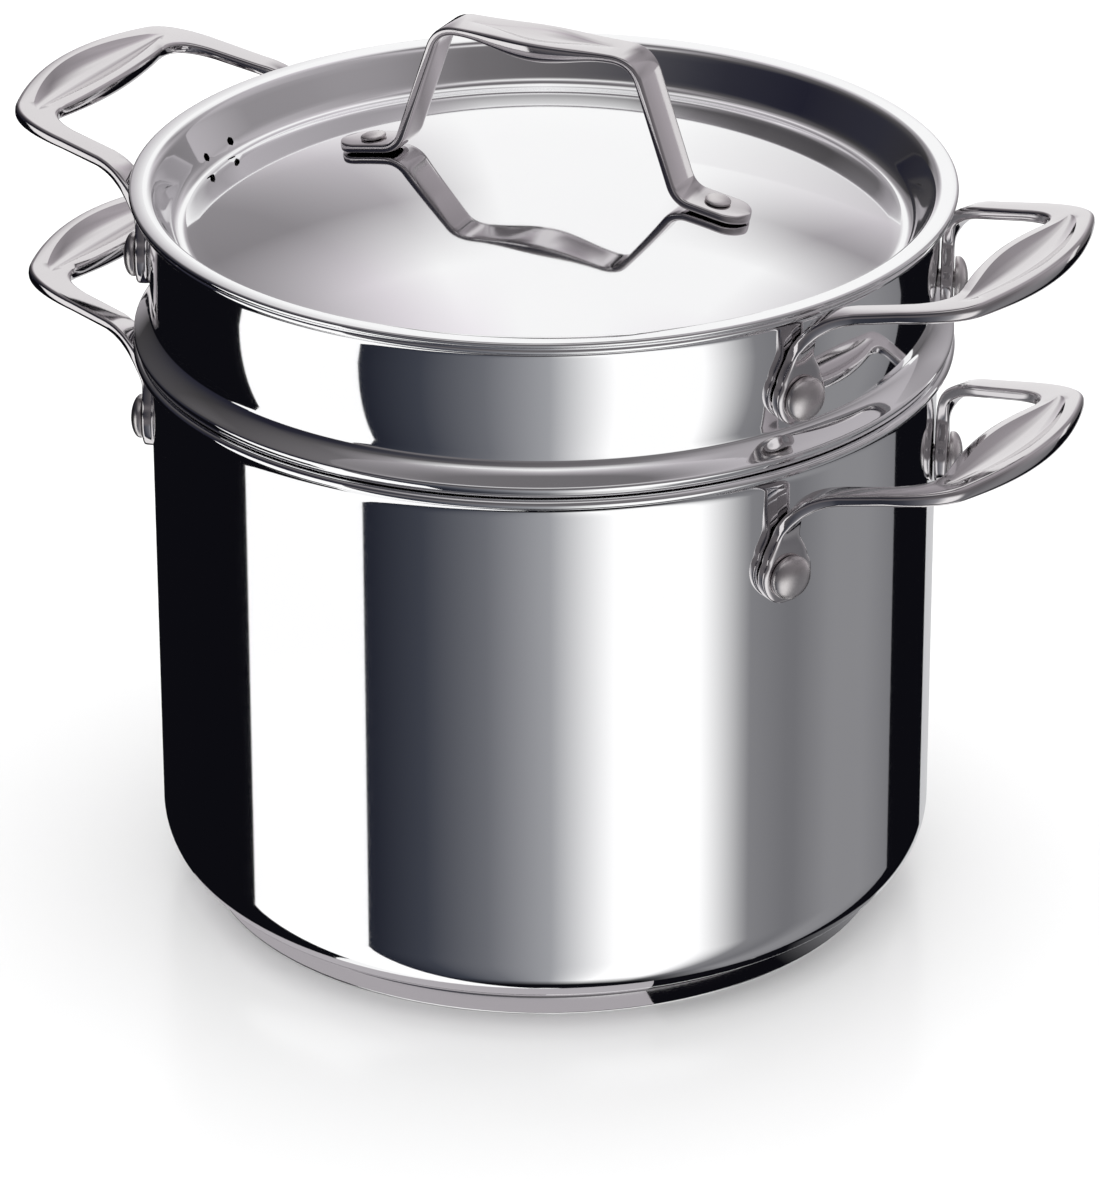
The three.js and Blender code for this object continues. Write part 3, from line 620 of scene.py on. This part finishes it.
# Rivets
def rivet(tail_seat, head_seat, sizes):
    """A rivet along Z: a flat tail, a shank, and a domed head with a short straight rim."""
    dome_base = head_seat + sizes["rim"]
    edge = sizes["rim"] / 2
    tail_end = tail_seat - sizes["tail_thickness"]
    near_axis = 88  # degrees: the dome's last ring lies just beside its tip
    return turned([
        (0, tail_end),
        *arc(sizes["tail"] - edge, tail_end + edge, edge, edge, -90, 0, steps=4),
        (sizes["tail"], tail_seat),
        (sizes["shank"], tail_seat),
        (sizes["shank"], head_seat),
        *arc(sizes["head"] - edge, head_seat + edge, edge, edge, -90, 0, steps=4),
        *arc(0, dome_base, sizes["head"], sizes["dome"], 0, near_axis, steps=16),
        (0, dome_base + sizes["dome"]),
    ], RIVET_COLUMNS)


# Handles
class Station:
    """One section of a handle: a top face with rounded sides and belly under it."""

    def __init__(self, centre, across, width, thickness, squareness, lens=0, dish=0):
        self.centre = Vector(centre)
        self.across = Vector(across).normalized()
        self.width = width
        self.thickness = thickness
        self.squareness = squareness
        self.lens = lens  # width of the pocket in the top face, as a share of the whole
        self.dish = dish

    def mirrored(self, flip):
        """The same section on the handle's other half."""
        way = Vector(a * b for a, b in zip(self.across, flip))
        spot = Vector(a * b for a, b in zip(self.centre, flip))
        return Station(spot, way, self.width, self.thickness, self.squareness, self.lens, self.dish)

    def ring(self, direction):
        """Corners round the section, where the handle runs in a direction."""
        upward = direction.cross(self.across).normalized()
        half = self.width / 2
        edge = min(EDGE_ROUND, half * EDGE_WIDTH_LIMIT, self.thickness * EDGE_THICKNESS_LIMIT)
        flat = half - edge
        pocket = flat * max(self.lens, NO_POCKET)
        pocket_steps = 10
        section = [(flat, 0)]
        for i in range(pocket_steps + 1):
            share = 1 - 2 * i / pocket_steps
            section.append((pocket * share, self.dish * (1 - share * share)))
        edge_steps = 4
        rounding = [math.pi / 2 * i / edge_steps for i in range(edge_steps)]
        corner = [(flat + edge * math.sin(a), edge - edge * math.cos(a)) for a in rounding]
        section += [(-side, depth) for side, depth in corner]
        belly_steps = 20
        power = 2 / self.squareness
        for i in range(belly_steps + 1):
            angle = math.pi * i / belly_steps
            side = -math.copysign(abs(math.cos(angle)) ** power, math.cos(angle))
            depth = edge + (self.thickness - edge) * abs(math.sin(angle)) ** power
            section.append((half * side, depth))
        section += corner[:0:-1]
        return [self.centre + self.across * side - upward * depth for side, depth in section]


def rings_of(stations):
    """Corners of each section, square to the line through its neighbours."""
    last = len(stations) - 1
    rings = []
    for i, station in enumerate(stations):
        direction = stations[min(i + 1, last)].centre - stations[max(i - 1, 0)].centre
        rings.append(station.ring(direction))
    return rings


def with_mirror(half, flip):
    """Sections of a whole handle, from those of one half up to its middle."""
    return half + [station.mirrored(flip) for station in reversed(half[:-1])]


def foot_width(height):
    """Width of a side handle's round foot and of the neck above it."""
    disc = 2 * math.sqrt(max(FOOT_RADIUS**2 - min(height, NECK_START) ** 2, 0))
    return mix(disc, NECK_WIDTH, smooth((height - NECK_START) / (NECK_END - NECK_START)))


def plan(edge_point):
    """Point seen from above, of a side handle's edge at +X and -Y."""
    out, side = edge_point
    return Vector((POT_OUTER + out, -side))


def top_at(spot):
    """Height of a side handle's top face above its rivets."""
    return TOP_AT_WALL + TOP_SLOPE * (spot.x - POT_OUTER)


def side_handle():
    """Cast loop at +X, its rivets at height 0: half of it from the foot on -Y, then the mirrored half."""
    stations = []
    outward = Vector((math.cos(RIVET_ANGLE), -math.sin(RIVET_ANGLE)))
    foot = outward * (POT_OUTER + SEAT_GAP)

    def strap(spot, height, heading, width, thickness, squareness):
        """Adds a section of the foot or the leg."""
        across = (-heading.y, heading.x, 0)
        stations.append(Station((*spot, height), across, width, thickness, squareness))

    foot_steps = 18
    for i in range(foot_steps + 1):
        angle = math.radians(mix(*FOOT_ARC, i / foot_steps))
        height = FOOT_RADIUS * math.sin(angle)
        thinning = FOOT_TIP_THINNING * max(0, -math.sin(angle)) ** FOOT_TIP_SHARPNESS
        thickness = FOOT_THICKNESS * (1 - thinning)
        strap(foot, height, outward, foot_width(height), thickness, FOOT_SQUARENESS)
    for height in NECK_SECTIONS:
        strap(foot, height, outward, foot_width(height), FOOT_THICKNESS, FOOT_SQUARENESS)

    leg_end = (plan(OUTER_EDGE["leg"]) + plan(INNER_EDGE["leg"])) / 2
    leg = [foot, foot + outward * LEG_TURN_IN, leg_end - Vector((LEG_STRAIGHT, 0)), leg_end]
    fine = [bezier(leg, i / LEG_SAMPLES) for i in range(LEG_SAMPLES + 1)]
    reached = [0]
    for a, b in zip(fine, fine[1:]):
        reached.append(reached[-1] + (b - a).length)

    def on_leg(distance):
        """Point and heading of the leg in plan, at a distance along it."""
        at = next(i for i, reach in enumerate(reached) if reach >= distance - ROUNDING)
        before, after = max(at - 1, 0), min(at + 1, len(fine) - 1)
        return fine[at], (fine[after] - fine[before]).normalized()

    arch_top = top_at(on_leg(ARCH_REACH)[0])
    arch = [
        Vector((0, ARCH_START)),
        Vector((0, arch_top - TOP_SLOPE * ARCH_REACH)),
        Vector((ARCH_REACH, arch_top)),
    ]
    arch_steps = 18
    for i in range(arch_steps + 1):
        step = i / arch_steps
        distance, height = bezier(arch, step)
        spot, heading = on_leg(distance)
        width = max(foot_width(height), mix(NECK_WIDTH, LEG_WIDTH, step))
        thickness = mix(FOOT_THICKNESS, LEG_THICKNESS, step)
        strap(spot, height, heading, width, thickness, mix(FOOT_SQUARENESS, GRIP_SQUARENESS, step))

    def pair(outer, inner, crown, thickness):
        """Adds a section between a point of the outer edge and one of the inner edge."""
        outer_point = Vector((*outer, top_at(outer)))
        inner_point = Vector((*inner, top_at(inner) + crown))
        centre = (outer_point + inner_point) / 2
        across = inner_point - outer_point
        along = min(abs(centre.y) / POCKET_HALF_LENGTH, 1)
        lens = POCKET_WIDTH * math.sqrt(1 - along**2)
        dish = POCKET_DEPTH * (1 - along**2)
        stations.append(Station(centre, across, across.length, thickness, GRIP_SQUARENESS, lens, dish))

    def edge_curve(edge, names):
        """Named points of an edge, seen from above."""
        return [plan(edge[name]) for name in names]

    corner_steps = 16
    outer_corner = edge_curve(OUTER_EDGE, ("leg", "corner", "grip"))
    inner_corner = edge_curve(INNER_EDGE, ("leg", "corner", "grip"))
    for i in range(corner_steps + 1):
        share = i / corner_steps
        thickness = mix(LEG_THICKNESS, GRIP_START_THICKNESS, share)
        pair(bezier(outer_corner, share), bezier(inner_corner, share), 0, thickness)

    def bowed(edge):
        """Curve of an edge along the grip, seen from above."""
        bow = (edge["middle"][0], edge["grip"][1] / 2)
        return [plan(edge["grip"]), plan(bow), plan(edge["middle"])]

    grip_steps = 18
    for i in range(1, grip_steps + 1):
        share = i / grip_steps
        swell = math.sin(math.pi / 2 * share)
        pair(bezier(bowed(OUTER_EDGE), share), bezier(bowed(INNER_EDGE), share), INNER_CROWN * swell,
             mix(GRIP_START_THICKNESS, GRIP_THICKNESS, swell))
    return loft(rings_of(with_mirror(stations, (1, -1, 1))))


def lid_handle():
    """Bent strap in the XZ plane, from the foot at -X. The run follows the strap's outer face."""
    slope = math.tan(LID_TILT)
    foot_top = dome_height(LID_RIVET_RADIUS) + (SEAT_GAP + STRAP_THICKNESS) / math.cos(LID_TILT)

    def on_foot(x):
        """Point of the foot's top face, which lies along the dome."""
        return Vector((x, foot_top + (x + LID_RIVET_RADIUS) * slope))

    end = on_foot(-LID_RIVET_RADIUS - STRAP_FOOT_END)
    foot_bend = on_foot(-LID_RIVET_RADIUS + STRAP_FOOT_START)
    grip_top = foot_top + STRAP_HEIGHT
    lean = (grip_top - foot_bend.y) / math.tan(STRAP_LEG_LEAN)
    grip_bend = Vector((foot_bend.x + lean, grip_top))
    middle = Vector((0, grip_top))
    stations = []

    def add(spot, width, thickness, lens=0, dish=0):
        """Adds a section of the strap."""
        centre = (spot.x, 0, spot.y)
        stations.append(Station(centre, (0, 1, 0), width, thickness, STRAP_SQUARENESS, lens, dish))

    def towards(start, finish, distance):
        """Point at a distance from one point towards another."""
        return start + (finish - start).normalized() * distance

    def add_bend(before, corner, after, run, steps):
        """Adds the sections round one of the strap's bends."""
        bend = [towards(corner, before, run), corner, towards(corner, after, run)]
        for i in range(steps + 1):
            add(bezier(bend, i / steps), STRAP_WIDTH, STRAP_THICKNESS)

    end_steps = 12
    for i in range(end_steps + 1):
        angle = math.radians(mix(*STRAP_END_ARC, i / end_steps))
        along = STRAP_WIDTH / 2 * (1 - math.cos(angle))
        add(towards(end, foot_bend, along), STRAP_WIDTH * math.sin(angle), STRAP_THICKNESS)
    add_bend(end, foot_bend, grip_bend, STRAP_FOOT_BEND, steps=10)
    add_bend(foot_bend, grip_bend, middle, STRAP_GRIP_BEND, steps=14)
    grip_start = towards(grip_bend, middle, STRAP_GRIP_BEND)
    grip_steps = 20
    for i in range(1, grip_steps + 1):
        share = i / grip_steps
        swell = math.sin(math.pi / 2 * share) ** 2
        add(grip_start.lerp(middle, share), mix(STRAP_WIDTH, LID_GRIP_WIDTH, swell),
            mix(STRAP_THICKNESS, LID_GRIP_THICKNESS, swell), LID_GRIP_LENS * swell, LID_GRIP_DISH * swell)
    return loft(rings_of(with_mirror(stations, (-1, 1, 1))))


# Assembly
piece("pot_shell", pot_shell(), "pot", polished)
piece("base_cap", base_cap(), "pot", base_steel)
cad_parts["base_core"].data.materials.clear()
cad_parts["base_core"].data.materials.append(core_metal)
insert_turn = Matrix.Rotation(INSERT_TURN, 4, "Z")
lid_turn = Matrix.Rotation(LID_TURN, 4, "Z")
piece("insert_shell", insert_shell(), "insert", polished, insert_turn)
piece("lid_shell", lid_shell(), "lid", polished, lid_turn)
piece("lid_handle", lid_handle(), "lid", cast, lid_turn)

rivet_angles = {
    "right_front": -RIVET_ANGLE,
    "right_back": RIVET_ANGLE,
    "left_back": math.pi - RIVET_ANGLE,
    "left_front": math.pi + RIVET_ANGLE,
}
lie_outwards = Matrix.Rotation(math.pi / 2, 4, "Y")
for unit, turn, height, wall in (
    ("pot", Matrix.Identity(4), POT_RIVET_HEIGHT, POT_INNER),
    ("insert", insert_turn, INSERT_RIVET_HEIGHT, NECK_INNER),
):
    lifted = turn @ Matrix.Translation((0, 0, height))
    for side, half in (("right", 0), ("left", math.pi)):
        place = lifted @ Matrix.Rotation(half, 4, "Z")
        piece(f"{unit}_handle_{side}", side_handle(), unit, cast, place)
    head_seat = POT_OUTER + FOOT_THICKNESS + 2 * SEAT_GAP
    for spot, angle in rivet_angles.items():
        place = lifted @ Matrix.Rotation(angle, 4, "Z") @ lie_outwards
        shape = rivet(wall - SEAT_GAP, head_seat, SIDE_RIVET)
        piece(f"{unit}_rivet_{spot}", shape, unit, satin, place)

for side, sign in (("left", -1), ("right", 1)):
    spot = (sign * LID_RIVET_RADIUS, 0, dome_height(LID_RIVET_RADIUS))
    place = lid_turn @ Matrix.Translation(spot) @ Matrix.Rotation(sign * LID_TILT, 4, "Y")
    shape = rivet(-LID_SHEET - SEAT_GAP, STRAP_THICKNESS + 2 * SEAT_GAP, LID_RIVET)
    piece(f"lid_rivet_{side}", shape, "lid", satin, place)

# Camera, at the photograph's angle
CAMERA_TURN = math.radians(30.88)  # round from the front, towards the right handle
CAMERA_AWAY = 1.83639  # metres from the pot's axis
CAMERA_HEIGHT = 0.97352  # metres over the floor
CAMERA_PITCH = math.radians(25.72)
CAMERA_YAW = math.radians(0.05)
CAMERA_ROLL = math.radians(-0.15)
LENS_LENGTH = 195
SENSOR_WIDTH = 36

camera_data = bpy.data.cameras.new("camera")
camera_data.lens = LENS_LENGTH
camera_data.sensor_width = SENSOR_WIDTH
camera = bpy.data.objects.new("camera", camera_data)
bpy.context.scene.collection.objects.link(camera)
camera.matrix_world = (
    Matrix.Rotation(CAMERA_TURN, 4, "Z")
    @ Matrix.Translation((0, -CAMERA_AWAY, CAMERA_HEIGHT))
    @ Matrix.Rotation(-CAMERA_YAW, 4, "Z")
    @ Matrix.Rotation(math.pi / 2 - CAMERA_PITCH, 4, "X")
    @ Matrix.Rotation(CAMERA_ROLL, 4, "Z")
)
bpy.context.scene.camera = camera


# Studio
def blended(shades, share):
    """Colour at a share of the way along a row of evenly spaced shades."""
    at = share * (len(shades) - 1)
    first = min(int(at), len(shades) - 2)
    return [mix(a, b, at - first) for a, b in zip(shades[first], shades[first + 1])]


def mirror_card(name, left, right, rows, place):
    """A card that only mirror images show. It reaches round the pot from one angle to another, in
    degrees from the camera's side and to its right. Rows of shades run upwards or outwards, each from
    left to right. place gives the card's point at a share of the way along the rows and a turn about Z."""
    across_steps = 24
    row_steps = 24
    bm = bmesh.new()
    layer = bm.verts.layers.float_color.new("shade")
    grid = []
    for k in range(row_steps + 1):
        line = []
        for i in range(across_steps + 1):
            turn = CAMERA_TURN - math.pi / 2 + math.radians(mix(left, right, i / across_steps))
            corner = bm.verts.new(place(k / row_steps, turn))
            columns = [blended(shades, i / across_steps) for shades in rows]
            corner[layer] = (*blended(columns, k / row_steps), 1)
            line.append(corner)
        grid.append(line)
    for lower, upper in zip(grid, grid[1:]):
        for i in range(across_steps):
            bm.faces.new((lower[i], lower[i + 1], upper[i + 1], upper[i]))
    mesh = bpy.data.meshes.new(name)
    bm.to_mesh(mesh)
    bm.free()
    material = bpy.data.materials.new(name)
    material.use_nodes = True
    nodes, links = material.node_tree.nodes, material.node_tree.links
    nodes.remove(nodes["Principled BSDF"])
    shade = nodes.new("ShaderNodeAttribute")
    shade.attribute_name = "shade"
    glow = nodes.new("ShaderNodeEmission")
    links.new(shade.outputs["Color"], glow.inputs["Color"])
    links.new(glow.outputs["Emission"], nodes["Material Output"].inputs["Surface"])
    mesh.materials.append(material)
    made = bpy.data.objects.new(name, mesh)
    bpy.context.scene.collection.objects.link(made)
    made.visible_camera = False
    made.visible_diffuse = False
    made.visible_shadow = False


def studio_card(name, left, right, low, high, rows):
    """A curved card far round the pot, from one angle above the horizon to another."""
    away = 4  # metres

    def place(share, turn):
        """Point on a ball round the pot."""
        rise = math.radians(mix(low, high, share))
        return (
            away * math.cos(rise) * math.cos(turn),
            away * math.cos(rise) * math.sin(turn),
            away * math.sin(rise),
        )

    mirror_card(name, left, right, rows, place)


def floor_card(name, left, right, rows):
    """A flat card on the floor, close round the base, which the base's side and the pot's corner show: it
    paints the floor's reflection there, painted shade included.
    """
    reach = 118 * MM

    def place(share, turn):
        """Point on a ring round the base."""
        radius = mix(BASE_RADIUS * MM, reach, share)
        return (radius * math.cos(turn), radius * math.sin(turn), SEAT_GAP * MM)

    mirror_card(name, left, right, rows, place)


BLUE_LIFT = 0.012
WARM_GREEN = 0.95  # share of green that a warm shade keeps


def grey(level):
    """A neutral shade, a little blue where it is dark."""
    return (level, level, level + BLUE_LIFT)


def soft(level):
    """A neutral shade, a little warm."""
    return (level, level * WARM_GREEN, level)


WHITE = (1.1, 1.1, 1.1)
SKY = (1, 1, 1)
DIM = soft(0.17)
BLACK = (0.004, 0.004, 0.006)
slate = [(0.014, 0.016, 0.026), (0.05, 0.055, 0.072), (0.155, 0.16, 0.18), (0.36, 0.365, 0.385), WHITE]
dusk = [WHITE, grey(0.23), grey(0.17), grey(0.26), grey(0.26), grey(0.2)]


def lower_rows(shades, horizon=(DIM, DIM)):
    """Rows of a lower card: dark straight below, then its shades, and dim near the horizon."""
    return [[BLACK, BLACK]] * 2 + [shades] * 5 + [horizon] * 2


# Lower tier, which the upright walls show
studio_card("card_left_black", -180, -97, -60, 2, [[BLACK, BLACK], [BLACK, BLACK]])
studio_card("card_left_white", -97, -54, -88, 2, [[WHITE, WHITE], [WHITE, WHITE]])
studio_card("card_front_slate", -54, 20, -88, 6, lower_rows(slate))
studio_card("card_front_white", 20, 46, -88, 6, lower_rows([WHITE, WHITE]))
studio_card("card_right_dusk", 46, 124, -88, 6, lower_rows(dusk, [DIM, DIM, soft(0.55)]))
studio_card("card_right_black", 124, 154, -60, -16, [[BLACK, BLACK], [BLACK, BLACK]])
studio_card("card_back_pale", 154, 180, -45, -16, [[grey(0.6), grey(0.6)], [grey(0.6), grey(0.6)]])
# Upper tier, which the flares, the lid and the handles show
studio_card("card_left_ceiling", -150, -90, 2, 62, [
    [soft(0.03), grey(0.02), grey(0.02)],
    [soft(0.06), grey(0.03), grey(0.015)],
    [soft(0.1), soft(0.05), grey(0.02)],
    [soft(0.3), soft(0.1), soft(0.1)],
    [soft(0.6), DIM, DIM],
])
studio_card("card_front_ceiling", -90, 25, 6, 62, [
    [grey(0.02), soft(0.05), DIM, DIM, DIM],
    [grey(0.015), grey(0.02), grey(0.05), soft(0.13), DIM],
    [grey(0.02), grey(0.03), grey(0.06), soft(0.13), DIM],
    [soft(0.1), soft(0.1), soft(0.12), soft(0.15), soft(0.2)],
    [DIM, soft(0.4), SKY, SKY, SKY],
])
studio_card("card_right_ceiling", 25, 130, 6, 62, [
    [DIM, soft(0.25), soft(0.3), soft(0.45), soft(0.5)],
    [DIM, soft(0.2), soft(0.18), soft(0.3), soft(0.45)],
    [DIM, soft(0.3), soft(0.4), soft(0.45), soft(0.5)],
    [soft(0.2), soft(0.35), soft(0.4), soft(0.45), soft(0.5)],
    [SKY, soft(0.6), soft(0.4), soft(0.4), soft(0.6)],
])
studio_card("card_right_haze", 130, 175, -16, 21, [
    [soft(0.1), soft(0.15), soft(0.3), soft(0.6)],
    [soft(0.15), DIM, soft(0.4), SKY],
    [soft(0.25), soft(0.25), soft(0.4), SKY],
    [soft(0.3), soft(0.45), soft(0.6), SKY],
])
studio_card("card_zenith", -180, 180, 61, 90, [
    [SKY, DIM, soft(0.4), SKY, soft(0.6), soft(0.5), SKY],
    [SKY, DIM, soft(0.3), soft(0.5), soft(0.4), soft(0.4), SKY],
    [SKY, DIM, DIM, DIM, DIM, DIM, SKY],
    [soft(0.6), DIM, DIM, DIM, DIM, DIM, soft(0.6)],
    [DIM, DIM, DIM, DIM, DIM, DIM, DIM],
])
studio_card("card_left_soft", -177, -150, 0, 62, [
    [SKY, soft(0.85), soft(0.5), soft(0.3), soft(0.03)],
    [SKY, soft(0.56), soft(0.29), soft(0.26), soft(0.06)],
    [SKY, soft(0.42), soft(0.27), soft(0.24), soft(0.1)],
    [SKY, SKY, soft(0.75), soft(0.5), soft(0.3)],
    [SKY, soft(0.9), soft(0.8), soft(0.7), soft(0.6)],
])
studio_card("card_right_soft", 130, 172, 21, 62, [
    [soft(0.3), soft(0.4), soft(0.5), soft(0.65), SKY],
    [soft(0.4), soft(0.35), soft(0.28), soft(0.38), SKY],
    [soft(0.5), soft(0.4), soft(0.5), SKY, SKY],
    [soft(0.55), soft(0.5), soft(0.7), SKY, SKY],
    [soft(0.6), soft(0.7), soft(0.8), soft(0.9), SKY],
])
# On the floor: a painted reflection of the floor round the base, pale grey, and black as painted shade
# beside the pot
# painted reflection: the floor round the base, pale grey, as the base's side mirrors it
floor_card("card_base_painted_reflection", -80, 18, [[soft(0.45), soft(0.45)], [soft(0.45), soft(0.45)]])
# painted shade: black where the pot shades the floor, then grey, as the base's side mirrors it
floor_card("card_base_painted_shade", 18, 70, [[BLACK, BLACK, grey(0.3)], [BLACK, BLACK, grey(0.3)]])

# Floor, in metres
FLOOR_HALF = 6
FLOOR_COLOUR = (0.93, 0.93, 0.93, 1)
FLOOR_ROUGHNESS = 0.2

floor_mesh = bpy.data.meshes.new("floor")
floor_signs = ((-1, -1), (1, -1), (1, 1), (-1, 1))
corners = [(x * FLOOR_HALF, y * FLOOR_HALF, 0) for x, y in floor_signs]
floor_mesh.from_pydata(corners, [], [(0, 1, 2, 3)])
floor = bpy.data.objects.new("floor", floor_mesh)
bpy.context.scene.collection.objects.link(floor)
floor.visible_glossy = False
floor_paint = bpy.data.materials.new("floor_white")
floor_paint.use_nodes = True
floor_shader = floor_paint.node_tree.nodes["Principled BSDF"]
floor_shader.inputs["Base Color"].default_value = FLOOR_COLOUR
floor_shader.inputs["Roughness"].default_value = FLOOR_ROUGHNESS
floor_mesh.materials.append(floor_paint)

# The world lights the floor a little more strongly than the eye and the mirrors see it
WORLD_COLOUR = (1, 1, 1, 1)
SEEN_STRENGTH = 1
LIGHTING_STRENGTH = 1.4

world = bpy.data.worlds.new("studio")
bpy.context.scene.world = world
world.use_nodes = True
nodes, links = world.node_tree.nodes, world.node_tree.links
seen = nodes["Background"]
seen.inputs["Color"].default_value = WORLD_COLOUR
seen.inputs["Strength"].default_value = SEEN_STRENGTH
lighting = nodes.new("ShaderNodeBackground")
lighting.inputs["Color"].default_value = WORLD_COLOUR
lighting.inputs["Strength"].default_value = LIGHTING_STRENGTH
rays = nodes.new("ShaderNodeLightPath")
either = nodes.new("ShaderNodeMath")
either.operation = "MAXIMUM"
links.new(rays.outputs["Is Camera Ray"], either.inputs[0])
links.new(rays.outputs["Is Glossy Ray"], either.inputs[1])
choice = nodes.new("ShaderNodeMixShader")
links.new(either.outputs["Value"], choice.inputs["Fac"])
links.new(lighting.outputs["Background"], choice.inputs[1])
links.new(seen.outputs["Background"], choice.inputs[2])
links.new(choice.outputs["Shader"], nodes["World Output"].inputs["Surface"])
bpy.context.scene.view_settings.view_transform = "Standard"
